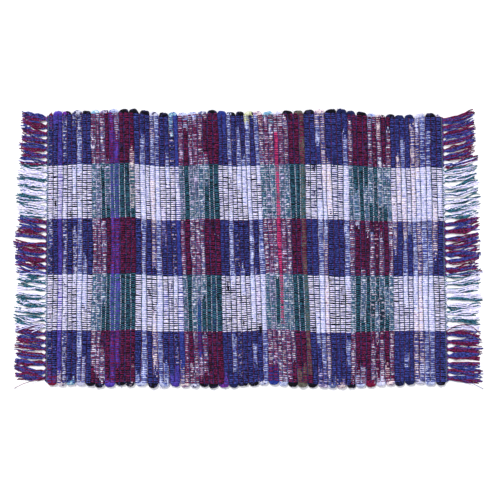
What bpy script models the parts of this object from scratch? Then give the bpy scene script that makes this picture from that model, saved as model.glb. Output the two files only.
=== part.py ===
"""Rag rug: a flat woven field of rag strips, with a comb of loose warp ends at each end.

The rug lies face up on its underside, at z = 0. +X runs along its length, from fringe to
fringe, and +Y across its width. Each piece is one closed solid.
"""

import math
import random

import bpy

MM = 0.001

# Driving dimensions
FIELD_THICKNESS = 8 * MM  # a rag strip, pressed oval, between an upper and a lower layer of warp
RIM_INSET = 2.5 * MM  # the rag turns round over, from the face to the outermost line
RIM_BOTTOM = 2 * MM
RIM_TOP = 5.5 * MM
TURNS = 40  # along each long edge, because the strip turns back once in two picks
TURN_NOTCH = 4 * MM  # how far the edge draws in between two turns
TURN_STEPS = 6  # straight steps round each turn, an even number
PIECE_GAP = 0.3 * MM

# Where the field ends along X, at its far (+Y) and near (-Y) corners
LEFT_END = {"far": -450 * MM, "near": -454 * MM}
RIGHT_END = {"far": 433 * MM, "near": 445 * MM}

# The outermost lines of the two long edges, which wander by a few millimetres and draw in
# at the near left corner: per cent of the way from left to right, far y and near y in mm
EDGE_TABLE = (
    (0, 307, -288),
    (3, 309, -300),
    (8, 311, -308),
    (13, 311, -312),
    (21, 314, -309),
    (28, 306, -311),
    (35, 306, -311),
    (41, 312, -314),
    (48, 307, -312),
    (55, 308, -305),
    (63, 311, -311),
    (72, 314, -315),
    (79, 306, -313),
    (86, 301, -308),
    (92, 300, -305),
    (97, 305, -308),
    (100, 303, -299),
)

# Fringe
TUFTS = 36  # in each comb
SPINE = 4 * MM  # the row of twists where the warp ends leave the field
SPINE_HEIGHT = 5 * MM
SWAY = 0.4 * MM  # how far one tuft leans from its neighbours, at random
BOW = 1.2 * MM  # a slow sideways wave from tuft to tuft
BOW_WAVES = 3
UNEVEN = 0.06  # share by which the trimmed length varies
SEED = 11

# How each comb lies, in mm: length of the tufts at the far corner, in the middle and at the
# near corner, then the y distance that the tips drift at the far and near corners
FRINGE_TABLE = {
    "left": {"lengths": (56, 69, 68), "drift": (2, -10)},
    "right": {"lengths": (74, 78, 77), "drift": (12, -12)},
}

# One tuft from root to tip: share of its length, width and thickness in mm
TUFT_TABLE = (
    (0.00, 8.0, 5.0),
    (0.15, 12.0, 4.5),
    (0.45, 13.4, 4.0),
    (0.80, 13.2, 3.4),
    (1.00, 9.5, 2.4),
)

MATERIALS = {
    "rag_weave": {"colour": (0.12, 0.10, 0.30, 1.0), "roughness": 0.9},
    "cotton_warp": {"colour": (0.10, 0.06, 0.20, 1.0), "roughness": 0.85},
}


def between(value, table):
    """Reads a table of (place, value) rows at one place, straight between the rows."""
    for (low, at_low), (high, at_high) in zip(table, table[1:]):
        if value <= high:
            return at_low + (at_high - at_low) * (value - low) / (high - low)
    return table[-1][1]


def edge_point(side, along):
    """A point on the outermost line of a long edge, at a share of the way from left to right."""
    column = 1 if side == "far" else 2
    x = LEFT_END[side] + (RIGHT_END[side] - LEFT_END[side]) * along
    y = between(100 * along, [(row[0], row[column]) for row in EDGE_TABLE]) * MM
    return x, y


def edge_line(side):
    """The long edge with its rag turns, each a half ellipse; far turns start half a turn in."""
    outward = 1 if side == "far" else -1
    shift = TURN_STEPS // 2 if side == "far" else 0
    points = []
    for step in range(TURNS * TURN_STEPS + 1):
        x, y = edge_point(side, step / (TURNS * TURN_STEPS))
        bulge = math.sin(math.pi * ((step + shift) % TURN_STEPS) / TURN_STEPS)
        points.append((x, y - outward * TURN_NOTCH * (1 - bulge)))
    return points


def material(name):
    """A plain cloth material."""
    made = bpy.data.materials.new(name)
    made.use_nodes = True
    shader = made.node_tree.nodes["Principled BSDF"]
    shader.inputs["Base Color"].default_value = MATERIALS[name]["colour"]
    shader.inputs["Roughness"].default_value = MATERIALS[name]["roughness"]
    shader.inputs["Metallic"].default_value = 0.0
    return made


def thick_cloth(name, slot, points, faces):
    """A closed solid from a plan. Points are (x, y, bottom z, top z), and faces list points
    anticlockwise as seen from above."""
    count = len(points)
    vertices = [(x, y, top) for x, y, bottom, top in points]
    vertices += [(x, y, bottom) for x, y, bottom, top in points]
    sides = {(face[i - 1], face[i]) for face in faces for i in range(len(face))}
    rim = sorted((a, b) for a, b in sides if (b, a) not in sides)
    solid = [list(face) for face in faces]
    solid += [[count + i for i in reversed(face)] for face in faces]
    solid += [[b, a, count + a, count + b] for a, b in rim]
    mesh = bpy.data.meshes.new(name)
    mesh.from_pydata(vertices, [], solid)
    mesh.materials.append(slot)
    cloth = bpy.data.objects.new(name, mesh)
    bpy.context.scene.collection.objects.link(cloth)
    return cloth


def woven_field(slot):
    """The field: a strip of plan across the rug for each step along its long edges."""
    points = []
    for (far_x, far_y), (near_x, near_y) in zip(edge_line("far"), edge_line("near")):
        points.append((near_x, near_y, RIM_BOTTOM, RIM_TOP))
        points.append((near_x, near_y + RIM_INSET, 0.0, FIELD_THICKNESS))
        points.append((far_x, far_y - RIM_INSET, 0.0, FIELD_THICKNESS))
        points.append((far_x, far_y, RIM_BOTTOM, RIM_TOP))
    faces = []
    for step in range(TURNS * TURN_STEPS):
        for row in range(3):
            here = 4 * step + row
            faces.append((here, here + 4, here + 5, here + 1))
    return thick_cloth("woven_field", slot, points, faces)


def fringe_comb(side, slot):
    """One comb: a spine along the field's end, and a tuft for each bundle of warp ends."""
    rng = random.Random(SEED if side == "left" else SEED + 1)
    outward = -1 if side == "left" else 1
    step = 0 if side == "left" else -1
    near_x, near_y = edge_line("near")[step]
    far_x, far_y = edge_line("far")[step]
    lengths = FRINGE_TABLE[side]["lengths"]
    far_drift, near_drift = FRINGE_TABLE[side]["drift"]

    def at(share, out, aside, height):
        """A plan point: share of the way from near to far, then distances out and aside."""
        x = near_x + (far_x - near_x) * share + outward * (PIECE_GAP + out)
        y = near_y + (far_y - near_y) * share + aside
        return (x, y, 0.0, height)

    points = [at(0, 0, 0, SPINE_HEIGHT), at(0, SPINE, 0, SPINE_HEIGHT)]
    faces = []

    def strip(inner, outer):
        """Carries the spine on to a new pair of points."""
        points.extend((inner, outer))
        last = len(points) - 2
        faces.append((spine[0], spine[1], last + 1, last))
        spine[:] = (last, last + 1)

    spine = [0, 1]
    pitch = (far_y - near_y) / TUFTS
    for tuft in range(TUFTS):
        middle = (tuft + 0.5) / TUFTS
        length = between(middle, [(0, lengths[2]), (0.5, lengths[1]), (1, lengths[0])]) * MM
        length *= 1 + rng.uniform(-UNEVEN, UNEVEN)
        drift = near_drift * MM + (far_drift - near_drift) * MM * middle
        drift += rng.uniform(-SWAY, SWAY)
        bow = BOW * math.sin(2 * math.pi * BOW_WAVES * middle)
        root_half = TUFT_TABLE[0][1] * MM / 2 / pitch / TUFTS
        for share in (middle - root_half, middle + root_half):
            strip(at(share, 0, 0, SPINE_HEIGHT), at(share, SPINE, 0, SPINE_HEIGHT))
        low, high = spine[1] - 2, spine[1]
        for along, width, thickness in TUFT_TABLE[1:]:
            aside = drift * along**1.5 + bow * math.sin(math.pi * along)
            out = SPINE + length * along
            points.append(at(middle, out, aside - width * MM / 2, thickness * MM))
            points.append(at(middle, out, aside + width * MM / 2, thickness * MM))
            faces.append((low, len(points) - 2, len(points) - 1, high))
            low, high = len(points) - 2, len(points) - 1
    strip(at(1, 0, 0, SPINE_HEIGHT), at(1, SPINE, 0, SPINE_HEIGHT))
    if side == "left":
        faces = [tuple(reversed(face)) for face in faces]
    return thick_cloth(f"fringe_{side}", slot, points, faces)


def centre(pieces):
    """Moves the rug's bounding box to the middle of the X and Y axes."""
    for axis in (0, 1):
        reach = [vertex.co[axis] for piece in pieces for vertex in piece.data.vertices]
        middle = (min(reach) + max(reach)) / 2
        for piece in pieces:
            for vertex in piece.data.vertices:
                vertex.co[axis] -= middle


def main():
    for thing in list(bpy.data.objects):
        bpy.data.objects.remove(thing, do_unlink=True)
    rag_weave = material("rag_weave")
    cotton_warp = material("cotton_warp")
    rug = [
        woven_field(rag_weave),
        fringe_comb("left", cotton_warp),
        fringe_comb("right", cotton_warp),
    ]
    centre(rug)


main()
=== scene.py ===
# %% [markdown]
# # A rag rug, strand by strand
# A rag rug, or chindi rug, is woven from strips of old cloth. Two sets of cotton warp ends run
# the long way, and thick rag strips cross them, each followed by one thin pick of yarn. One set
# of warp rides over every rag while the other hides beneath it, and then they change places:
# that is what makes the plaid. A smooth sheet with the plaid painted on would look flat, so this
# lesson winds the real strands instead, and the pattern comes from the weave by itself.

# %% Load the fixed frame
import math

import bpy
import numpy as np
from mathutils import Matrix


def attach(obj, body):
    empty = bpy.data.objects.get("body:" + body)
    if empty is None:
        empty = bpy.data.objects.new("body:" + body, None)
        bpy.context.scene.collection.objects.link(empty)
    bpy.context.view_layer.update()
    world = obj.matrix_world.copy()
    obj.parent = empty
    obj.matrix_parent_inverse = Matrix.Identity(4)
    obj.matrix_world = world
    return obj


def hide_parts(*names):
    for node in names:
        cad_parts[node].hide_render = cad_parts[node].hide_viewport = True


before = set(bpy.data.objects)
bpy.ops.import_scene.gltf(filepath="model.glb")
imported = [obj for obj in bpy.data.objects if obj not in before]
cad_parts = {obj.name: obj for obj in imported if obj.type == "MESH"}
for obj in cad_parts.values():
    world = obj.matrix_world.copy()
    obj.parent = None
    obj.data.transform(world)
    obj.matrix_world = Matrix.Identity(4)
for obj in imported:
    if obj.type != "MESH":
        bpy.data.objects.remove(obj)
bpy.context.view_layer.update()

MM = 0.001
rng = np.random.default_rng(7)

# %% [markdown]
# The outline comes from the frame's own meshes. The field's outermost points are the ones
# between its top and its underside, and sorted along the rug they give the far edge and the
# near edge, turn by turn. The fringe combs give the place of each tuft's tip.

# %% Read the outline from the frame
RIM_MARGIN = 0.5  # mm from either face, between which the outermost line lies
CREST_REACH = 3  # points on either side that a turn's outermost point stands out from


def node_points(node):
    """The corners of a frame mesh, in millimetres."""
    return np.array([tuple(v.co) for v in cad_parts[node].data.vertices]) / MM


field = node_points("woven_field")
FACE = field[:, 2].max()
rim = field[(field[:, 2] > RIM_MARGIN) & (field[:, 2] < FACE - RIM_MARGIN)]


def edge_line(points, outward):
    """From left to right, each turn's outermost x and y on a long edge, and where it ends."""
    line = np.unique(np.round(points[points[:, 1] * outward > 0][:, :2], 2), axis=0)
    line = line[np.argsort(line[:, 0])]
    y = line[:, 1] * outward
    crest = [
        i for i in range(len(y))
        if y[i] >= max(y[max(0, i - CREST_REACH):i + CREST_REACH + 1])
    ]
    return line[crest, 0], line[crest, 1], line[[0, -1], 0]


far_x, far_y, far_ends = edge_line(rim, 1)
near_x, near_y, near_ends = edge_line(rim, -1)
print("turns along the far and near edge:", len(far_x), len(near_x), "face at", FACE, "mm")

# %% [markdown]
# The weaver's own numbers: how many rag picks each block of the plaid has, where the blocks
# begin along the far edge, the middle and the near edge (a hand-woven rug leans a little), and
# how many warp ends each band has. Everything after this is worked out from them.

# %% The weaver's draft
PICKS_PER_BLOCK = (9, 9, 9, 8, 9, 9, 8, 9, 10)
# Where each block begins, in per cent of the length: along the far edge, middle and near edge
BLOCK_TABLE = (
    (0.0, 0.0, 0.0),
    (10.7, 11.4, 10.9),
    (21.6, 22.2, 22.1),
    (32.8, 33.8, 34.7),
    (43.0, 43.6, 44.3),
    (53.3, 54.7, 55.7),
    (65.0, 65.5, 66.8),
    (76.1, 76.6, 76.2),
    (87.0, 87.4, 87.3),
    (100.0, 100.0, 100.0),
)
BANDS = 5  # dark, light, dark, light, dark, from the near edge to the far edge
ENDS_PER_BAND = 27  # of each set
BAND_EDGES = (0.0, 0.195, 0.405, 0.612, 0.813, 1.0)  # shares of the width, from the near edge
PICKS = sum(PICKS_PER_BLOCK)
ENDS = BANDS * ENDS_PER_BAND
HEADER = 0.8  # mm at each end, for the yarn picks before the first rag and after the last
SELVEDGE = 7.6  # mm from the outermost line of the turns to the outermost warp end
SAG = 2.5  # mm that the middle of the warp has slipped towards the near edge
SAG_RUN = 900.0  # mm from the left end, over which it slips
LEVEL = FACE / 2
print(PICKS, "rag picks and", 2 * ENDS, "warp ends")

# %% [markdown]
# A weaver winds the rag strips end to end and lays them back and forth. The list has one word
# for each pick: a letter for the cloth that crosses the rug, then a letter for the cloth of the
# turn at its end. The strip starts at the far left corner, so even picks run towards us and odd
# ones run away. Most rags are shorter than the rug is wide, so a second cloth from the same pile
# is joined in here and there by chance. The plain violet and brown rags cross whole, and the pink
# one, which shows most, begins a little way in from the near edge.

# %% The rag strip, in the order it is woven
START_CLOTH = "M"
RAG_STRIP = (
    "FM KV VC GP KS KG LW KK KK",
    "RS OK RO KV VL VK KK KF KK",
    "KL LK KK CG LL KK NV FS BC",
    "OL KG RL OK RR KK KK KP",
    "NB KN LK FK KK KK LY KG LC",
    "RB OS RL HW OK RK KE KE EK",
    "KK NO LC CR KK NC KN LK",
    "RN KL KK KM RL FW RC KC RK",
    "KK NN LN NN CW CW LL LK KK KO",
)  # one line for each block of the plaid
WHOLE_RAGS = "VHE"
JOIN_CHANCE = 0.75  # at each of the two places in a pick
JOIN_PLACES = ((0.14, 0.40), (0.52, 0.76))  # shares of a pick, where another rag may start
JOIN_LENGTH = (0.08, 0.22)  # of a pick, how long the joined rag lies on top
PINK_START = 0.24  # of its pick, where the pink rag takes over from the one before it
TURN_REACH = (0.005, 0.10)  # of a pick, how far a turn's cloth reaches in on either side


def rag_runs(words):
    """Turns the list into (letter, where the cloth ends, in picks from the start)."""
    crossing = [word[0] for word in words]
    runs = [(START_CLOTH, rng.uniform(*TURN_REACH))]
    for pick, (cloth, turn_cloth) in enumerate(words):
        pile = crossing[max(0, pick - 4):pick + 5]
        pile = [other for other in pile if other not in WHOLE_RAGS]
        for low, high in JOIN_PLACES:
            place, joined = pick + rng.uniform(low, high), rng.choice(pile)
            length = rng.uniform(*JOIN_LENGTH)
            if cloth not in WHOLE_RAGS and joined != cloth and rng.random() < JOIN_CHANCE:
                runs += [(cloth, place), (str(joined), place + length)]
        if cloth == "H":
            runs += [(crossing[pick - 1], pick + PINK_START)]
        runs += [(cloth, pick + 1 - rng.uniform(*TURN_REACH))]
        runs += [(turn_cloth, pick + 1 + rng.uniform(*TURN_REACH))]
    return runs


RAG_RUNS = rag_runs([word for line in RAG_STRIP for word in line.split()])
RAG_ENDS = np.array([end for _, end in RAG_RUNS])
print(len(RAG_RUNS), "strips of cloth wound over", PICKS, "picks")

# %% [markdown]
# How bulky a cloth is decides how wide its pick packs down. A thick jersey takes more room than
# a thin cotton lining, so the width of each pick follows its cloth, within its block.

# %% Room for each pick
# Room a cloth takes, where an even share of its block is 1
BULK = {"K": 1.06, "L": 1.08, "V": 1.05, "E": 1.0, "H": 0.80, "F": 1.0}
OTHER_BULK = 0.96


def cloth_at(place):
    """The cloth at a place counted in picks along the strip."""
    return RAG_RUNS[min(int(np.searchsorted(RAG_ENDS, place)), len(RAG_RUNS) - 1)][0]


def block_of(pick):
    """Which block of the plaid a pick is in, from 0."""
    return int(np.searchsorted(np.cumsum(PICKS_PER_BLOCK), pick, side="right"))


def bulk_of(pick):
    """How bulky a pick is, from the cloth at three places along it."""
    return np.mean([BULK.get(cloth_at(pick + part), OTHER_BULK) for part in (0.2, 0.5, 0.8)])


def pick_shares():
    """Where each pick begins, as a share of the length: a row for far, middle and near."""
    rows = []
    for column in range(3):
        starts, first = [], 0
        for block, count in enumerate(PICKS_PER_BLOCK):
            width = np.array([bulk_of(first + k) for k in range(count)])
            width = width + rng.normal(0, 0.03, count)
            low, high = BLOCK_TABLE[block][column], BLOCK_TABLE[block + 1][column]
            inner = low + (high - low) * np.concatenate([[0], np.cumsum(width)[:-1]]) / width.sum()
            starts.extend(inner)
            first += count
        rows.append(starts + [100.0])
    return np.array(rows) / 100


SHARES = pick_shares()
print("blocks begin at", [round(100 * SHARES[1][9 * k]) for k in range(3)], "... per cent")

# %% [markdown]
# No line in a hand-woven cloth is quite straight, so each boundary between picks wanders a
# little, and so will the strands. One function gives a smooth random line for all of them. Three
# more turn a share of the weave into millimetres.

# %% From shares to millimetres
ACROSS_STEPS = 41  # places across the rug where a boundary may wander
WANDER_MM = 0.7


def smooth_noise(count, spread, amplitude):
    """A wandering line: random numbers, smoothed over a number of steps."""
    kernel = np.hanning(spread + 2)[1:-1]
    line = np.convolve(rng.normal(0, 1, count + spread), kernel, "same")[:count]
    return line * amplitude / max(line.std(), 1e-6)


ACROSS = np.linspace(0, 1, ACROSS_STEPS)
WANDER = np.array([smooth_noise(ACROSS_STEPS, 9, WANDER_MM) for _ in range(PICKS + 1)])
WANDER[0] = WANDER[-1] = 0


def boundary(edge, across):
    """The x of the line before a pick, at shares across the rug from the near edge (0)."""
    across = np.asarray(across, float)
    share = np.interp(across, (0, 0.5, 1), SHARES[::-1, edge])
    left = near_ends[0] + (far_ends[0] - near_ends[0]) * across + HEADER
    right = near_ends[1] + (far_ends[1] - near_ends[1]) * across - HEADER
    return left + (right - left) * share + np.interp(across, ACROSS, WANDER[edge])


def warp_edge(side, x):
    """The y of the outermost warp end at an x, inside the turns."""
    if side == "far":
        return np.interp(x, far_x, far_y) - SELVEDGE
    return np.interp(x, near_x, near_y) + SELVEDGE


def warp_y(across, x):
    """The y of a warp end at an x, from its share of the way across."""
    low, high = warp_edge("near", x), warp_edge("far", x)
    slip = SAG * np.sin(np.pi * across) * np.clip((x - near_ends[0]) / SAG_RUN, 0, 1)
    return low + (high - low) * across - slip


mid_widths = np.diff([float(boundary(k, 0.5)) for k in range(PICKS + 1)])
print("picks are", mid_widths.min().round(1), "to", mid_widths.max().round(1), "mm wide")

# %% [markdown]
# Every strand is a tube swept along a line. The tube has few sides and shaded edges, because
# there are thousands of turns in it. Each strand gets two maps: one lays it out as its own row
# of a square, so that its colours can be baked later without touching its neighbour, and one
# counts centimetres along the yarn and once round it, for twist and folds in the material.

# %% One swept tube
LEVEL_SHARE = 0.25  # a ring whose path is steeper than this keeps the heading of the one before
TINY = 1e-9


def frames(path):
    """Unit vectors at each ring of a path: level to its side, and up from it."""
    along = np.gradient(path, axis=0)
    along /= np.linalg.norm(along, axis=1)[:, None] + TINY
    flat = along * (1, 1, 0)
    lean = np.linalg.norm(flat, axis=1)
    for k in range(1, len(path)):
        if lean[k] < LEVEL_SHARE:
            flat[k] = flat[k - 1]
    flat /= np.linalg.norm(flat, axis=1)[:, None] + TINY
    side = np.cross(flat, (0, 0, 1))
    return side, np.cross(side, along)


def tube(path, width, height, sides, crumple):
    """The rings of a tube, from a half width and half height for each ring."""
    rings = len(path)
    side, top = frames(path)
    angle = np.arange(sides) * 2 * np.pi / sides
    scale = np.ones((rings, sides))
    if crumple:
        rough = rng.normal(0, 1, (rings + 2, sides))
        scale += crumple * (rough[:-2] + 1.4 * rough[1:-1] + rough[2:]) / 2
    aside = np.cos(angle) * np.broadcast_to(width, rings)[:, None] * scale
    up = np.sin(angle) * np.broadcast_to(height, rings)[:, None] * scale
    return path[:, None, :] + side[:, None, :] * aside[..., None] + top[:, None, :] * up[..., None]


def tube_quads(first, rings, sides):
    """The corners of a tube's faces, counted from the number of its first point."""
    start = first + np.arange(rings - 1)[:, None] * sides
    k = np.arange(sides)[None, :]
    after = (k + 1) % sides
    quads = [start + k, start + after, start + sides + after, start + sides + k]
    return np.stack(quads, axis=-1).reshape(-1, 4)


# %% [markdown]
# A tube opens out to a rectangle: one side runs along it and the other goes once round it. Its
# two ends are small ovals beside the rectangle.

# %% The maps of a tube
def map_corners(us, vs):
    """The map corners of a tube's faces: us run along it, and vs once round it."""
    corner = np.empty((len(us) - 1, len(vs) - 1, 4, 2))
    corner[..., 0, 0] = corner[..., 1, 0] = us[:-1, None]
    corner[..., 2, 0] = corner[..., 3, 0] = us[1:, None]
    corner[..., 0, 1] = corner[..., 3, 1] = vs[:-1]
    corner[..., 1, 1] = corner[..., 2, 1] = vs[1:]
    return corner.reshape(-1, 2)


def cap_corners(u, v, wide, high, sides):
    """The map corners of a tube's end: a small oval round a place."""
    turn = np.arange(sides) * 2 * np.pi / sides
    return np.stack([u + wide * np.cos(turn), v + high * np.sin(turn)], axis=-1)


# %% [markdown]
# A piece is many strands in one mesh. The collector below keeps each strand's points, faces,
# maps and cloth until all are there.

# %% Collecting strands
COLUMN_START, COLUMN_END = 0.01, 0.985  # of a column of the bake square
ROW_EDGE = 0.08  # of a row, left free on either side of a strand
CAP_GAP = 0.004  # of a column, between a strand's row and the caps of its ends


class Strands:
    """Collects swept strands, each in its own row of the bake square."""

    def __init__(self, name, rows, columns=1):
        self.name, self.rows, self.columns = name, rows, columns
        self.points, self.quads, self.caps = [], [], []
        self.cloth, self.cap_cloth = [], []
        self.bake, self.yarn, self.cap_bake = [], [], []
        self.count = self.made = 0

    def add(self, path, width, height, sides=4, cloth=0, crumple=0.0, start=0.0):
        """Adds a strand: its path in mm, its half width and half height, and its cloth."""
        path = np.asarray(path, float)
        rings = len(path)
        self.points.append(tube(path, width, height, sides, crumple).reshape(-1, 3))
        self.quads.append(tube_quads(self.count, rings, sides))
        self.caps.append((self.count + np.arange(sides))[::-1])
        self.caps.append(self.count + (rings - 1) * sides + np.arange(sides))
        steps = np.linalg.norm(np.diff(path, axis=0), axis=1)
        self.lay_out(np.concatenate([[0], np.cumsum(steps)]), sides, start)
        cloth = np.broadcast_to(cloth, (rings, sides))
        self.cloth.append(cloth[:-1].ravel())
        self.cap_cloth += [cloth[0, 0], cloth[-1, 0]]
        self.count += rings * sides
        self.made += 1

    def lay_out(self, reach, sides, start):
        """The strand's own row in the bake square, and its centimetres and turns."""
        row, column = divmod(self.made, self.columns)
        low_u, high_u = (column + np.array([COLUMN_START, COLUMN_END])) / self.columns
        low_v, high_v = (row + np.array([ROW_EDGE, 1 - ROW_EDGE])) / self.rows
        u = low_u + (high_u - low_u) * reach / reach[-1]
        v = low_v + (high_v - low_v) * np.arange(sides + 1) / sides
        self.bake.append(map_corners(u, v))
        self.yarn.append(map_corners((reach + start) / 10, np.arange(sides + 1) / sides))
        gap = CAP_GAP / self.columns
        for place in (low_u - gap, high_u + gap):
            middle = (low_v + high_v) / 2
            self.cap_bake.append(cap_corners(place, middle, 0.8 * gap, 0.4 * (high_v - low_v), sides))


# %% [markdown]
# Lists of faces are slow when there are a hundred thousand of them, so the mesh is filled from
# long arrays. The strands are pressed flat where they rest on the floor.

# %% Making the piece
LOWEST = 0.05  # mm
PROUD = 0.4  # mm that a strand may stand above the frame's face


def make_piece(strands, materials):
    """Makes the mesh and its object from collected strands, all shaded smooth."""
    points = np.concatenate(strands.points)
    points[:, 2] = np.clip(points[:, 2], LOWEST, FACE + PROUD)
    quads = np.concatenate(strands.quads)
    loops = np.concatenate([quads.reshape(-1)] + strands.caps)
    sizes = np.array([4] * len(quads) + [len(cap) for cap in strands.caps])
    starts = np.concatenate([[0], np.cumsum(sizes)[:-1]])
    mesh = bpy.data.meshes.new(strands.name)
    mesh.vertices.add(len(points))
    mesh.vertices.foreach_set("co", (points * MM).reshape(-1))
    mesh.loops.add(len(loops))
    mesh.loops.foreach_set("vertex_index", loops.astype(np.int32))
    mesh.polygons.add(len(starts))
    mesh.polygons.foreach_set("loop_start", starts.astype(np.int32))
    for cotton_material in materials:
        mesh.materials.append(cotton_material)
    cloth = np.concatenate(strands.cloth + [np.array(strands.cap_cloth)])
    mesh.polygons.foreach_set("material_index", cloth.astype(np.int32))
    mesh.polygons.foreach_set("use_smooth", np.ones(len(starts), bool))
    plain_caps = [corners * 0 for corners in strands.cap_bake]
    for layer, parts in (
        ("OFBake", strands.bake + strands.cap_bake),
        ("Yarn", strands.yarn + plain_caps),
    ):
        uv = mesh.uv_layers.new(name=layer)
        uv.data.foreach_set("uv", np.concatenate(parts).reshape(-1).astype(np.float32))
    mesh.update(calc_edges=True)
    mesh.validate()
    piece = bpy.data.objects.new(strands.name, mesh)
    bpy.context.scene.collection.objects.link(piece)
    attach(piece, "root")
    print(strands.name, strands.made, "strands,", (sizes - 2).sum(), "triangles")
    return piece


# %% [markdown]
# ## Cotton in its colours
# Everything here is cotton, so every finish starts from the same plain facts: not a metal, an
# index of refraction near 1.5, and a rough surface that scatters nearly all light, with a faint
# sheen from loose fibres. Light that enters between fibres is lost there, so the shine is set
# well below that of a closed surface, which keeps the dark dyes dark. What differs is the dye,
# and how the cloth was made. Colours are written as sRGB hex values and turned into linear light.

# %% Colours and nodes
COTTON = {
    "IOR": 1.5,
    "Specular IOR Level": 0.15,
    "Metallic": 0.0,
    "Sheen Weight": 0.02,
    "Sheen Roughness": 0.5,
}


def linear(code):
    """An sRGB hex colour as linear light, with alpha."""
    parts = [int(code[i:i + 2], 16) / 255 for i in (1, 3, 5)]
    return tuple(c / 12.92 if c <= 0.04045 else ((c + 0.055) / 1.055) ** 2.4 for c in parts) + (1.0,)


def add(tree, kind, settings=(), links=()):
    """Adds a node with its settings, and links its inputs: {input: (node, output)}."""
    node = tree.nodes.new(kind)
    for name, value in dict(settings).items():
        if isinstance(name, int) or name in node.inputs:
            node.inputs[name].default_value = value
        else:
            setattr(node, name, value)
    for name, (source, output) in dict(links).items():
        tree.links.new(source.outputs[output], node.inputs[name])
    return node


def scale_for(size):
    """The scale at which a noise's blotches are about this many millimetres across."""
    return 1 / (size * MM)


def blotches(tree, size, detail, roughness):
    """Noise that runs through the cloth, in blotches about this many millimetres across."""
    where = add(tree, "ShaderNodeTexCoord")
    return add(
        tree, "ShaderNodeTexNoise",
        {"Scale": scale_for(size), "Detail": detail, "Roughness": roughness},
        {"Vector": (where, "Object")},
    )


def ramp(tree, noise, *ends):
    """A noise turned into colour, from two ends: (level of the noise, sRGB hex)."""
    shade = add(tree, "ShaderNodeValToRGB", links={"Fac": (noise, "Fac")})
    for element, (level, code) in zip(shade.color_ramp.elements, ends):
        element.position = level
        element.color = linear(code)
    return shade


def cotton(name, roughness):
    """A new cotton material: its tree, its shader, and its place on the yarn."""
    material = bpy.data.materials.new(name)
    material.use_nodes = True
    tree = material.node_tree
    shader = tree.nodes["Principled BSDF"]
    for socket, value in COTTON.items():
        shader.inputs[socket].default_value = value
    shader.inputs["Roughness"].default_value = roughness
    yarn_map = add(tree, "ShaderNodeUVMap", {"uv_map": "Yarn"})
    return material, tree, shader, yarn_map


# %% [markdown]
# The warp is plied cotton yarn: two or three singles twisted round each other. The eye sees
# slanting ridges and a dye that took a little unevenly. A real twist is about 3 mm long, which
# is finer than shows from above the whole rug, so the ridges are drawn 5 mm apart.

# %% Plied cotton yarn for the warp and the fringe
TWIST_CM = 0.5  # between ridges
RIDGE_HEIGHT = 0.3  # mm
YARN_MOTTLE = 4.0  # mm, blotches where the dye took unevenly


def plied_yarn(name, dye, worn):
    """Plied, dyed cotton yarn, ridged by its twist and mottled between two shades."""
    material, tree, shader, yarn_map = cotton(name, 0.85)
    place = add(tree, "ShaderNodeSeparateXYZ", links={0: (yarn_map, "UV")})
    turns = add(tree, "ShaderNodeMath", {"operation": "DIVIDE", 1: TWIST_CM}, {0: (place, "X")})
    slant = add(tree, "ShaderNodeMath", {"operation": "ADD"}, {0: (turns, 0), 1: (place, "Y")})
    circle = add(tree, "ShaderNodeMath", {"operation": "MULTIPLY", 1: math.tau}, {0: (slant, 0)})
    ridge = add(tree, "ShaderNodeMath", {"operation": "SINE"}, {0: (circle, 0)})
    bump = add(
        tree, "ShaderNodeBump",
        {"Strength": 0.5, "Distance": RIDGE_HEIGHT * MM}, {"Height": (ridge, 0)},
    )
    shade = ramp(tree, blotches(tree, YARN_MOTTLE, 3.0, 0.6), (0.41, dye), (0.60, worn))
    tree.links.new(shade.outputs["Color"], shader.inputs["Base Color"])
    tree.links.new(bump.outputs["Normal"], shader.inputs["Normal"])
    return material


YARNS = {
    "navy": plied_yarn("navy plied cotton", "#191d55", "#454ea6"),
    "burgundy": plied_yarn("burgundy plied cotton", "#340922", "#801a55"),
    "white": plied_yarn("white plied cotton", "#c8c4f6", "#f9f3ff"),
    "teal": plied_yarn("teal plied cotton", "#0e303f", "#38748a"),
    "grey": plied_yarn("grey teal cotton", "#42586e", "#627c8c"),
}
YARN_NUMBER = {yarn: k for k, yarn in enumerate(YARNS)}
print(len(YARNS), "yarns")

# %% [markdown]
# The rags are of two kinds. Dyed jersey is T-shirt cloth, which curls on itself when it is cut to
# strips and fades softly where it rubbed. Printed sheeting is cut through its motifs, so the eye
# sees sharp flecks of a second colour. Both are matt, and both get long folds along the strip from
# a noise that is stretched in one direction. The same noise paints shade down in the folds and a
# highlight on their ridges. The flecks are drawn 6 mm long, coarser than on some real prints, so
# that they show between the warp ends.

# %% The cloths that the rags were cut from
# letter: name, ground, second colour, share of the second colour
CLOTHS = {
    "K": ("black print", "#060512", "#2e2c5a", 0.26),
    "N": ("navy jersey", "#1a2050", "#333e80", 0.40),
    "B": ("blue jersey", "#263894", "#4a60c0", 0.40),
    "V": ("violet jersey", "#5038ac", "#7662d2", 0.45),
    "P": ("purple jersey", "#6c2aa0", "#a04fc0", 0.45),
    "L": ("pale blue print", "#ccd4fa", "#7888d0", 0.27),
    "W": ("white jersey", "#d6d6fa", "#f8f6ff", 0.50),
    "C": ("cream print", "#f0dde2", "#9c80a8", 0.28),
    "G": ("grey print", "#d2d2ec", "#403e64", 0.42),
    "O": ("plum print", "#766c9c", "#dccdf4", 0.46),
    "R": ("lavender print", "#6a76aa", "#e6e6fc", 0.48),
    "H": ("pink jersey", "#e43e80", "#fa74aa", 0.40),
    "S": ("light blue print", "#78aed0", "#d2e6f6", 0.40),
    "M": ("maroon jersey", "#720c36", "#a0245a", 0.40),
    "E": ("brown jersey", "#5d5a50", "#84807a", 0.45),
    "F": ("flowered navy print", "#161830", "#c8b4c8", 0.16),
    "Y": ("yellow print", "#d8dca8", "#f4f6dc", 0.45),
}
FOLD_LENGTH_CM = 0.83  # along the strip
FOLDS_ROUND = 15.0  # folds round a strip, each about 2 mm wide
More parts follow.
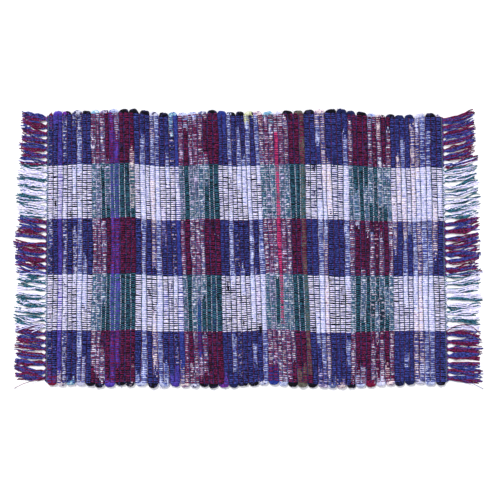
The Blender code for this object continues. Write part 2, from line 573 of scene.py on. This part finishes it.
FOLD_DEPTH = 1.4  # mm
JERSEY_FADE = 8.0  # mm across a faded patch
PRINT_FLECK = 6.0  # mm across a fleck
FLECK_STRETCH = (0.7, 0.9, 1.0)  # which draws the flecks out, most along the rug
WASH_PATCH = 22.0  # mm across a paler patch
PAINTED_CREASE_SHADES = (0.52, 1.06)  # painted shade down in a fold, and painted highlight on its ridge: how light the cloth is there
WASH_SHADES = (0.7, 1.0)  # how light it is where the dye held, and where it washed out


def folds(tree, yarn_map):
    """Long folds along the strip: the bump they make, and the noise they come from."""
    stretch = add(
        tree, "ShaderNodeMapping",
        {"Scale": (1 / FOLD_LENGTH_CM, FOLDS_ROUND, 1.0)}, {"Vector": (yarn_map, "UV")},
    )
    fold = add(
        tree, "ShaderNodeTexNoise",
        {"Scale": 1.0, "Detail": 3.0, "Roughness": 0.55}, {"Vector": (stretch, "Vector")},
    )
    bump = add(
        tree, "ShaderNodeBump",
        {"Strength": 0.9, "Distance": FOLD_DEPTH * MM}, {"Height": (fold, "Fac")},
    )
    return bump, fold


def pattern_of(tree, name, share):
    """The noise of a cloth's pattern, and the two levels between which its colour changes."""
    if name.endswith("jersey"):
        return blotches(tree, JERSEY_FADE, 4.0, 0.65), 0.62 - 0.3 * share, 0.86 - 0.3 * share
    where = add(tree, "ShaderNodeTexCoord")
    stretch = add(
        tree, "ShaderNodeMapping", {"Scale": FLECK_STRETCH}, {"Vector": (where, "Object")},
    )
    pattern = add(
        tree, "ShaderNodeTexNoise",
        {"Scale": scale_for(PRINT_FLECK), "Detail": 1.5, "Roughness": 0.6},
        {"Vector": (stretch, "Vector")},
    )
    return pattern, 0.61 - 0.25 * share, 0.65 - 0.25 * share


def brightness(tree, noise, levels, shades):
    """A noise's range of levels turned into how light the cloth is."""
    sockets = ("From Min", "From Max", "To Min", "To Max")
    settings = dict(zip(sockets, levels + shades))
    return add(tree, "ShaderNodeMapRange", settings, {"Value": (noise, "Fac")})


def wear(tree, fold):
    """How light the cloth is: painted shade down in its folds and a painted highlight on their
    ridges, and paler where it was washed most.
    """
    # painted shade in the folds and painted highlight on their ridges, from the same noise as the
    # bump
    painted_crease_shade = brightness(tree, fold, (0.3, 0.6), PAINTED_CREASE_SHADES)
    fade = brightness(tree, blotches(tree, WASH_PATCH, 1.0, 0.5), (0.3, 0.7), WASH_SHADES)
    return add(
        tree, "ShaderNodeMath",
        {"operation": "MULTIPLY"}, {0: (painted_crease_shade, "Result"), 1: (fade, "Result")},
    )


def rag_cloth(letter):
    """One cloth: jersey is mottled softly, and a print has flecks with sharp edges."""
    name, ground, second, share = CLOTHS[letter]
    material, tree, shader, yarn_map = cotton(name, 0.9)
    bump, fold = folds(tree, yarn_map)
    pattern, low, high = pattern_of(tree, name, share)
    shade = ramp(tree, pattern, (low, ground), (high, second))
    # the cloth's colour times the painted shade in its folds, the painted highlight on their ridges,
    # and the paler washed patches
    tint = add(
        tree, "ShaderNodeMix", {"data_type": "RGBA", "blend_type": "MULTIPLY", 0: 1.0},
        {6: (shade, "Color"), 7: (wear(tree, fold), 0)},
    )
    tree.links.new(tint.outputs[2], shader.inputs["Base Color"])
    tree.links.new(bump.outputs["Normal"], shader.inputs["Normal"])
    return material


LETTERS = sorted(CLOTHS)
RAG_MATERIALS = [rag_cloth(letter) for letter in LETTERS]
print(len(RAG_MATERIALS), "cloths for the rags")

# %% [markdown]
# ## The rag weft
# Each pick is a strip crushed to an oval about 10 mm wide and 6 mm high. It crosses from one
# long edge to the other, swings round in a fat folded turn outside the last warp end, and comes
# back. All eighty picks are swept one after another, so a cloth that runs out in the middle of
# a pick simply changes there, as the next strip overlaps it.

# %% Lay the rag picks and their turns
RAG_HALF_HEIGHT = 3.1
RAG_CROSS_RINGS = 92
RAG_TURN_RINGS = 9
RAG_SIDES = 10
RAG_FILL = 0.47  # half width of a pick as a share of its room, which leaves a groove for the yarn


def pick_line(pick, across):
    """Middle x and width of a pick's room at shares across the rug."""
    left, right = boundary(pick, across), boundary(pick + 1, across)
    return (left + right) / 2, right - left


def crossing(pick):
    """The rings of one pick from the near warp edge to the far one."""
    across = np.linspace(0, 1, RAG_CROSS_RINGS)
    x, room = pick_line(pick, across)
    y = warp_y(across, x)
    z = LEVEL + smooth_noise(len(x), 5, 0.15)
    width = room * RAG_FILL * (1 + smooth_noise(len(x), 3, 0.05))
    height = np.full(len(x), RAG_HALF_HEIGHT) * (1 + smooth_noise(len(x), 3, 0.05))
    return np.stack([x, y, z], -1), width, height


# Turns that stand out of the edge, in mm: (side, number from the left)
STAND_OUT = {
    ("far", 30): 4.0,
    ("far", 32): 1.5,
    ("near", 5): 2.0,
    ("near", 10): 3.5,
    ("near", 35): 2.0,
}
TURN_HALF_WIDTH = (4.6, 6.1)  # mm, thinnest and fattest
TURN_HALF_HEIGHT = 3.3
TURN_SWELL = 0.35  # mm that a turn is thicker at its outermost point
TURN_BULGE = 1.5  # mm that it swells sideways over its neighbours


def turn(pick, side):
    """The rings round a turn from this pick to the next, outside the outermost warp end."""
    across = 1.0 if side == "far" else 0.0
    outward = 1 if side == "far" else -1
    (x0, _), (x1, _) = pick_line(pick, across), pick_line(pick + 1, across)
    middle, radius = (x0 + x1) / 2, (x1 - x0) / 2
    thick = rng.uniform(*TURN_HALF_WIDTH)
    reach = SELVEDGE + 0.4 - thick + rng.normal(0, 0.9)
    reach += STAND_OUT.get((side, (pick + 1) // 2), 0.0)
    lean = rng.normal(0, 2.0)
    angle = np.linspace(0, np.pi, RAG_TURN_RINGS + 2)[1:-1]
    x = middle - (radius + TURN_BULGE * np.sin(angle)) * np.cos(angle) + lean * np.sin(angle)
    y = warp_edge(side, x) + outward * reach * np.sin(angle) ** 0.5
    z = LEVEL - 0.1 + rng.normal(0, 0.35) * np.sin(angle)
    width = thick * (1 - 0.06 * np.cos(2 * angle))
    height = TURN_HALF_HEIGHT + TURN_SWELL * np.sin(angle)
    return np.stack([x, y, z], -1), width, height


# %% [markdown]
# The strip starts and stops at the far corners, where its cut ends are tucked in and show as
# two small lumps. With them, the picks and the turns join up into one strip.

# %% The two cut ends, and the whole strip
TAIL_RINGS = RAG_TURN_RINGS // 2 + 1
TAIL_HALF_WIDTH = 4.4


def tail(pick, aside):
    """The cut end of the whole strip, a lump at a far corner that leans aside by some mm."""
    t = np.linspace(0, 1, TAIL_RINGS)
    x, _ = pick_line(pick, 1.0)
    out = (SELVEDGE - TAIL_HALF_WIDTH) * (1 - t)
    y = warp_edge("far", x) + out
    path = np.stack([x + aside * (1 - t) ** 2, y, LEVEL - 0.2 * (1 - t)], -1)
    return path, TAIL_HALF_WIDTH + 0.3 * t, np.full(TAIL_RINGS, RAG_HALF_HEIGHT)


lengths = [tail(0, -2.0) + (np.zeros(TAIL_RINGS),)]  # path, width, height, place on the strip
for pick in range(PICKS):
    way = 1 if pick % 2 else -1
    line, width, height = crossing(pick)
    along = pick + np.linspace(0.02, 0.98, RAG_CROSS_RINGS)
    lengths.append((line[::way], width[::way], height[::way], along))
    if pick < PICKS - 1:
        around = pick + np.linspace(0.985, 1.015, RAG_TURN_RINGS)
        lengths.append(turn(pick, "far" if pick % 2 else "near") + (around,))
line, width, height = tail(PICKS - 1, 2.0)
lengths.append((line[::-1], width[::-1], height, np.full(TAIL_RINGS, float(PICKS))))
print("the strip has", sum(len(part[0]) for part in lengths), "rings")

# %% [markdown]
# The end of a rag is cut on a slant and folded over the next, so the cloth changes at slightly
# different places round the strip. The strip is swept in eighty lengths, each from the middle of
# a turn to the middle of the next, so that each gets its own row to be baked in.

# %% Sweep the rags
SLANT = 0.02  # of a pick, about 12 mm
FRAY = 0.008  # of a pick, about 5 mm
RAG_CRUMPLE = 0.10  # share by which the strip is dented at random
PICK_MM = 700.0  # between two picks on the map of the folds, so that no two are alike
letter_number = {letter: k for k, letter in enumerate(LETTERS)}
joined, joined_width, joined_height, joined_place = (np.concatenate(part) for part in zip(*lengths))
ragged = joined_place[:, None] + rng.normal(0, SLANT, (1, RAG_SIDES))
ragged = ragged + rng.normal(0, FRAY, (len(joined_place), RAG_SIDES))
joined_cloth = np.array([[letter_number[cloth_at(place)] for place in ring] for ring in ragged])
rag = Strands("rag_weft", rows=PICKS)
stride = RAG_CROSS_RINGS + RAG_TURN_RINGS
for pick in range(PICKS):
    part = slice(pick * stride, pick * stride + RAG_CROSS_RINGS + 2 * TAIL_RINGS)
    rag.add(
        joined[part], joined_width[part], joined_height[part], sides=RAG_SIDES,
        cloth=joined_cloth[part], crumple=RAG_CRUMPLE, start=pick * PICK_MM,
    )
rag_weft = make_piece(rag, RAG_MATERIALS)

# %% [markdown]
# ## The warp
# In a block where set A shows, each A end lies on top of every rag and dips under the thin
# yarn between two rags, while each B end does the opposite. In the next block they change. The
# path of an end is written as one height for each place it passes: on top, beneath, or level.

# %% Where each end goes up and down
OVER = FACE - 0.65  # mm, the middle of an end where it lies on a rag
SHOULDER = 0.45  # mm lower, where it bends over the rag's sides
UNDER = 0.75  # mm, the middle of an end beneath a rag
UNDER_SHOULDER = 0.3
DIP = 1.4  # mm below the thin yarn
RISE = 2.7  # mm above it, where an end shows in the groove
WARP_HALF_WIDTH = 1.28
WARP_HALF_HEIGHT = 0.62
CREST = 0.34  # of a pick's width, where an end comes up to the top of the rag
SETS = {
    "A": {"dark": "navy", "light": "white"},
    "B": {"dark": "burgundy", "light": "teal"},
}


def warp_stations(set_name):
    """The places an end passes: (pick, share of its width, height in mm)."""
    stations = []
    for pick in range(PICKS):
        block = block_of(pick)
        on_top = (block % 2 == 0) == (set_name == "A")
        if on_top:
            places = (0.5 - CREST, OVER - SHOULDER), (0.5, OVER), (0.5 + CREST, OVER - SHOULDER)
        else:
            low = UNDER + UNDER_SHOULDER
            places = (0.5 - CREST, low), (0.5 + CREST, low)
        stations += [(pick, share, height) for share, height in places]
        if pick == PICKS - 1:
            break
        if block_of(pick + 1) != block:
            stations.append((pick, 1.0, LEVEL))
        else:
            stations.append((pick, 1.0, LEVEL - DIP if on_top else LEVEL + RISE))
    return stations


STATIONS = {name: warp_stations(name) for name in SETS}
print("an end of set A has", len(STATIONS["A"]), "stations, and one of set B", len(STATIONS["B"]))


def end_across(set_name, number):
    """Where an end lies across the rug: the two sets alternate within each band."""
    band, place = divmod(number, ENDS_PER_BAND)
    place = (place + (0.25 if set_name == "A" else 0.75)) / ENDS_PER_BAND
    return BAND_EDGES[band] + (BAND_EDGES[band + 1] - BAND_EDGES[band]) * place


# %% [markdown]
# An end follows those heights from the left of the rug to the right. It is held in place by the
# rags, so it wavers sideways by well under a millimetre.

# %% Weave the ends
LEAVES = ((3.0, 2.8), (0.9, LEVEL - 0.9))  # mm out from the last rag, and the height there
WOBBLE = ((16, 0.35), (4, 0.38))  # stations and mm of an end's slow and quick sideways waves


def warp_end(set_name, number):
    """The path of one end through the field."""
    across = end_across(set_name, number)
    starts = np.array([float(boundary(k, across)) for k in range(PICKS + 1)])
    stations = STATIONS[set_name]
    pick, share, z = (np.array(column) for column in zip(*stations))
    x = starts[pick] + (starts[pick + 1] - starts[pick]) * share
    out, height = np.array(LEAVES).T
    x = np.concatenate([starts[0] - out, x, starts[-1] + out[::-1]])
    z = np.concatenate([height, z + smooth_noise(len(z), 2, 0.08), height[::-1]])
    y = warp_y(across, x)
    for spread, reach in WOBBLE:
        y = y + smooth_noise(len(x), spread, reach)
    return np.stack([x, y, z], -1)


warp_pieces, end_paths = [], {"A": [], "B": []}
for set_name, dyes in SETS.items():
    for band in range(BANDS):
        yarn = dyes["dark" if band % 2 == 0 else "light"]
        ends = Strands(f"warp_{set_name}_band_{band + 1}_{yarn}", rows=ENDS_PER_BAND)
        for number in range(band * ENDS_PER_BAND, (band + 1) * ENDS_PER_BAND):
            path = warp_end(set_name, number)
            end_paths[set_name].append(path)
            wide = WARP_HALF_WIDTH * (1 + smooth_noise(len(path), 4, 0.16))
            ends.add(path, wide, WARP_HALF_HEIGHT, start=rng.uniform(0, 50))
        piece = make_piece(ends, [YARNS[yarn]])
        warp_pieces.append(piece)

# %% [markdown]
# ## The thin weft
# After each rag the weaver throws one thin pick of grey yarn, which ties the rag down. It shows
# only as a fine line in the groove. Three more such picks close the weave at each end, where
# they keep the last rag from slipping out.

# %% Throw the thin picks
THIN_HALF = 0.62
THIN_RINGS = 56
HEADING_RINGS = 136  # an end passes over or under at every other ring
HEADING_ROWS = (0.4, 1.4, 2.4)  # mm out from the last rag
HEADING_WEAVE = 0.9  # mm up and down
HEADING_LEVEL = 3.2
thin = Strands("tie_down_weft", rows=PICKS + 2)
for pick in range(PICKS - 1):
    if block_of(pick) == block_of(pick + 1):
        across = np.linspace(0.0, 1.0, THIN_RINGS)
        x = boundary(pick + 1, across)
        y = warp_y(across, x)
        z = np.full(len(x), LEVEL) + smooth_noise(len(x), 2, 0.12)
        thin.add(np.stack([x, y, z], -1), THIN_HALF, THIN_HALF, start=rng.uniform(0, 50))
for edge, outward in ((0, -1), (PICKS, 1)):
    for row, offset in enumerate(HEADING_ROWS):
        across = np.linspace(0.0, 1.0, HEADING_RINGS)
        x = boundary(edge, across) + outward * offset
        y = warp_y(across, x)
        weave = np.where(np.arange(len(x)) % 2 == row % 2, HEADING_WEAVE, -HEADING_WEAVE)
        line = np.stack([x, y, HEADING_LEVEL + weave], -1)
        thin.add(line, 0.6, 0.55, start=rng.uniform(0, 50))
tie_down = make_piece(thin, [YARNS["grey"]])

# %% [markdown]
# ## The fringe
# Past the last pick the warp ends run free. They were twisted in small bunches, so each tuft is
# narrow at its root and fans out to its tip, and its dyed ends swing across each other. Every
# end is its own strand here. Its bunch gives the main line, its colour a slow wave of its own,
# and a little chance keeps any two from lying alike.

# %% Gather the ends into tufts
TUFT_RINGS = 16
YARNS_PER_END = 2  # each warp end is a pair of yarns, and the pair parts in the fringe
FLOOR_GAP = 0.8  # mm from the floor to the middle of the lowest yarn
CRINKLE = 0.45  # mm, which the yarn keeps from being pressed over and under the weft


def tuft_tips(node):
    """The middle of each tuft's tip in the frame, from the near edge to the far edge."""
    points = node_points(node)
    tip_height = points[points[:, 2] > 0.1][:, 2].min()
    tips = points[abs(points[:, 2] - tip_height) < 0.05][:, :2]
    tips = np.unique(np.round(tips, 3), axis=0)
    tips = tips[np.argsort(tips[:, 1])]
    return tips.reshape(-1, 2, 2).mean(axis=1)


def tuft_members(tuft, tufts):
    """The warp ends that were gathered into a tuft: (set, number)."""
    return [
        (set_name, number) for number in range(ENDS) for set_name in SETS
        if int(end_across(set_name, number) * tufts) == tuft
    ]


# %% [markdown]
# A free yarn leaves the last pick, is drawn in towards the main line of its tuft, and then goes
# its own way: a fixed distance aside, one slow wave, and a hump where it rises over the others.

# %% One free yarn
ALONG = np.linspace(0, 1, TUFT_RINGS) ** 1.35  # share of the length at each ring
TRIMMED = (0.86, 1.03)  # of the tuft's length
STRAY_WIDE = (3.0, 7.0)  # mm aside at the tip, for a yarn that keeps close or one that strays
OWN_WAVE = 2.2  # mm
HUMP = (0.3, 3.6)  # mm that a yarn rises over the others
DROP = 9.0  # how fast a yarn comes down from the field to the floor
FRINGE_HALF_WIDTH = (1.15, 1.55)
FRINGE_HALF_HEIGHT = 0.75


def free_yarn(root, length, outward, line, opened, tight):
    """The path of one yarn and its half width, from its root and its tuft's main line."""
    t = ALONG
    length = length * rng.uniform(*TRIMMED)
    own = rng.uniform(-1, 1) * (0.9 + rng.choice(STRAY_WIDE) * opened)
    own += rng.normal(0, OWN_WAVE) * np.sin(2 * np.pi * (1.3 * t + rng.random())) * t
    gathered = np.clip(t / 0.05, 0, 1) * (tight + (1 - tight) * t)
    x = root[0] + outward * length * t
    y = root[1] * (1 - gathered) + (line + own) * gathered
    hump = rng.uniform(*HUMP) * np.sin(np.pi * np.clip(t * 1.12, 0, 1)) ** 0.8
    y = y + rng.normal(0, CRINKLE, len(t)) * opened
    z = FLOOR_GAP + (root[2] - FLOOR_GAP) * np.exp(-t * DROP) + hump
    z = np.maximum(z + rng.normal(0, 0.12, len(t)), FLOOR_GAP)
    thick = rng.uniform(*FRINGE_HALF_WIDTH) * (1 - 0.35 * t ** 6)
    return np.stack([x, y, z], -1), thick


# %% [markdown]
# Within a tuft the two colours lie on opposite sides of the main line, and often cross over it
# once or twice on their way to the tip.

# %% Fan out the tufts
FRINGE_COLUMNS = 4
APART = (1.2, 3.2)  # mm from the main line to a colour's own, near or wide
TIGHT = (0.45, 0.95)  # how far the yarns are drawn in at the root
OPENS_BY = (0.12, 0.36)  # share of the length over which a tuft fans out
TUFT_SWING = 2.4  # mm


def fringe(name, node, outward):
    """All the free yarns at one end of the rug, in the tufts of the frame's comb."""
    tips = tuft_tips(node)
    yarns = 2 * ENDS * YARNS_PER_END
    strands = Strands(name, rows=math.ceil(yarns / FRINGE_COLUMNS), columns=FRINGE_COLUMNS)
    t = ALONG
    for tuft, (tip_x, tip_y) in enumerate(tips):
        members = tuft_members(tuft, len(tips))
        roots = [end_paths[s][k][0 if outward < 0 else -1] for s, k in members]
        root_y = np.mean([root[1] for root in roots])
        side = rng.choice((-1, 1))
        crossings = rng.choice((0, 1, 1, 2))
        bend = rng.uniform(-1, 1, 3)
        tight = rng.uniform(*TIGHT)
        opened = np.clip((t - 0.03) / rng.uniform(*OPENS_BY), 0, 1)
        line = root_y + (tip_y - root_y) * t ** 1.4
        line = line + TUFT_SWING * bend[0] * np.sin(np.pi * t * 1.5)
        for (set_name, k), root in zip(members, roots):
            shade = "dark" if k // ENDS_PER_BAND % 2 == 0 else "light"
            cloth = YARN_NUMBER[SETS[set_name][shade]]
            apart = side * (1 if set_name == "A" else -1) * (0.5 + rng.choice(APART) * opened)
            apart = apart * np.cos(np.pi * crossings * t + 0.6 * bend[1])
            for _ in range(YARNS_PER_END):
                path, thick = free_yarn(
                    root, abs(tip_x - root[0]), outward, line + apart, opened, tight,
                )
                strands.add(
                    path, thick, FRINGE_HALF_HEIGHT, cloth=cloth, start=rng.uniform(0, 50),
                )
    piece = make_piece(strands, list(YARNS.values()))
    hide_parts(node)
    return piece


fringe_left = fringe("left_fringe", "fringe_left", -1)
fringe_right = fringe("right_fringe", "fringe_right", 1)

# %% [markdown]
# ## Loose threads
# Cut cotton frays. A few hairs stand out of the turns and lie on the face, and at the ends some
# stray yarns leave their tufts: one thin loop at the far left, a striped end (one white yarn
# between two navy ones) doubled back on itself between two bands at the left, and long ends that
# bow across at the right.

# %% Lay the stray yarns
HAIRS = 150
THREAD_COLUMNS = 4
STRAY_RINGS = 26
STRAY_LOW, STRAY_ARCH = 1.6, 4.6  # mm, its height at both ends, and its rise over the fringe
# Places that a thread passes: (mm out from the field, mm towards the far edge)
DOUBLED = ((41, -9), (28, -3), (15, 2), (11, 8), (15, 14), (35, 9), (55, 3), (73, -4))
# end of the rug, share of the width at its root, yarn, half width, places it passes
STRAYS = (
    ("left", 0.1945, "navy", 0.6, DOUBLED),
    ("left", 0.197, "white", 1.1, DOUBLED),
    ("left", 0.1995, "navy", 0.6, DOUBLED),
    ("left", 0.90, "burgundy", 0.6, ((36, 6), (50, 9), (58, 4), (61, -8), (60, -20), (52, -28))),
    ("left", 0.215, "burgundy", 0.8, ((70, -18), (46, -10), (24, -1), (9, 4), (3, -3))),
    ("left", 0.02, "burgundy", 0.7, ((2, 0), (30, -8), (55, -16), (74, -26))),
    ("right", 0.20, "burgundy", 0.9, ((2, -6), (18, 6), (40, 12), (62, 6), (80, -10))),
    ("right", 0.19, "burgundy", 0.8, ((2, -4), (22, 2), (44, 5), (66, -4), (82, -18))),
    ("right", 0.02, "navy", 0.7, ((2, 0), (30, -6), (56, -14), (84, -28))),
    ("right", 0.97, "navy", 0.7, ((2, 2), (30, 12), (56, 20), (76, 26))),
)


def eased(places, steps):
    """A smooth line through places, as a thread bends."""
    places = np.asarray(places, float)
    knots = np.concatenate([[0], np.cumsum(np.linalg.norm(np.diff(places, axis=0), axis=1))])
    t = np.linspace(0, knots[-1], steps)
    line = np.stack([np.interp(t, knots, column) for column in places.T], -1)
    for _ in range(3):
        line[1:-1] = (line[:-2] + 2 * line[1:-1] + line[2:]) / 4
    return line


thread_rows = math.ceil((HAIRS + len(STRAYS)) / THREAD_COLUMNS)
threads = Strands("loose_threads", rows=thread_rows, columns=THREAD_COLUMNS)
for end, across, yarn, half, places_passed in STRAYS:
    outward = -1 if end == "left" else 1
    corner = 0 if end == "left" else 1
    root_x = near_ends[corner] + (far_ends[corner] - near_ends[corner]) * across
    line = eased(places_passed, STRAY_RINGS)
    x = root_x + outward * line[:, 0]
    y = warp_y(across, root_x) + line[:, 1]
    z = STRAY_LOW + STRAY_ARCH * np.sin(np.linspace(0, np.pi, len(x))) ** 0.5
    threads.add(np.stack([x, y, z], -1), half, half, cloth=YARN_NUMBER[yarn])
print(threads.made, "stray yarns")

# %% [markdown]
# The hairs are short ends of yarn that curl. Most have worked loose from the cut edges of the
# turns.

# %% Scatter the hairs
HAIR_LENGTH = (6, 18)  # mm
HAIR_CURL = 1.6  # radians
HAIR_HALF = 0.32  # mm
HAIR_RINGS = 7
HAIR_YARNS = ("navy", "burgundy", "white", "white", "teal")
for hair in range(HAIRS):
    length = rng.uniform(*HAIR_LENGTH)
    curl = rng.normal(0, HAIR_CURL)
    t = np.linspace(0, 1, HAIR_RINGS)
    place = rng.random()
    if hair % 3:  # two in three stand out of a turn, and the third lies on the face
        side = rng.choice(("far", "near"))
        x0 = near_ends[0] + 8 + (near_ends[1] - near_ends[0] - 22) * place
        outward = 1 if side == "far" else -1
        y0 = warp_edge(side, x0) + outward * (SELVEDGE - 3)
        heading = outward * np.pi / 2 + rng.normal(0, 0.9)
        length *= 0.6
        z = 5.5 - 3.0 * t
    else:
        x0 = near_ends[0] + 20 + (near_ends[1] - near_ends[0] - 40) * place
        y0 = warp_y(rng.uniform(0.04, 0.96), x0)
        heading = rng.uniform(0, 2 * np.pi)
        z = FACE + 0.2 + 0.8 * np.sin(np.pi * t)
    angle = heading + curl * t
    x = x0 + np.cumsum(np.cos(angle)) * length / len(t)
    y = y0 + np.cumsum(np.sin(angle)) * length / len(t)
    cloth = YARN_NUMBER[rng.choice(HAIR_YARNS)]
    threads.add(np.stack([x, y, z], -1), HAIR_HALF, HAIR_HALF, sides=3, cloth=cloth)
loose_threads = make_piece(threads, list(YARNS.values()))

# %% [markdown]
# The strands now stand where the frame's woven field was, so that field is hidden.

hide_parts("woven_field")

# %% [markdown]
# ## Floor, light and camera
# The rug lies on a plain white floor under broad soft light, so there is hardly a shadow. The
# camera looks straight down through a long lens, which keeps both ends square.

# %% Floor
FLOOR_REACH = 30.0  # m
corners = [(FLOOR_REACH * x, FLOOR_REACH * y, 0) for x, y in ((-1, -1), (1, -1), (1, 1), (-1, 1))]
floor_mesh = bpy.data.meshes.new("floor")
floor_mesh.from_pydata(corners, [], [(0, 1, 2, 3)])
floor = bpy.data.objects.new("floor", floor_mesh)
bpy.context.scene.collection.objects.link(floor)
floor_paint = bpy.data.materials.new("white matt paper")
floor_paint.use_nodes = True
floor_shader = floor_paint.node_tree.nodes["Principled BSDF"]
floor_shader.inputs["Base Color"].default_value = linear("#fbfbfd")
floor_shader.inputs["Roughness"].default_value = 0.95
floor_mesh.materials.append(floor_paint)

# %% Light
scene = bpy.context.scene
scene.view_settings.view_transform = "Standard"
world = bpy.data.worlds.new("soft room")
world.use_nodes = True
glow = world.node_tree.nodes["Background"]
glow.inputs["Color"].default_value = linear("#fafaff")
glow.inputs["Strength"].default_value = 0.80
scene.world = world
lamp = bpy.data.lights.new("window light", "SUN")
lamp.energy = 2.65
lamp.angle = math.radians(14)
sun = bpy.data.objects.new("window light", lamp)
sun.rotation_euler = (math.radians(-42), math.radians(-24), 0)
scene.collection.objects.link(sun)

# %% Camera
VIEW_WIDTH = 1.127  # m from side to side of the view, at the floor
CAMERA_HEIGHT = 3.2  # m
ASIDE = (9.7, -2.3)  # mm from the middle of the woven field to the middle of the view
SENSOR = 36.0  # mm
eye = bpy.data.cameras.new("camera")
eye.sensor_width = SENSOR
eye.lens = SENSOR * CAMERA_HEIGHT / VIEW_WIDTH
camera = bpy.data.objects.new("camera", eye)
middle_x = (near_ends.mean() + far_ends.mean()) / 2
middle_y = (far_y.mean() + near_y.mean()) / 2
camera.location = ((middle_x + ASIDE[0]) * MM, (middle_y + ASIDE[1]) * MM, CAMERA_HEIGHT)
scene.collection.objects.link(camera)
scene.camera = camera
print("lens", round(eye.lens, 1), "mm")
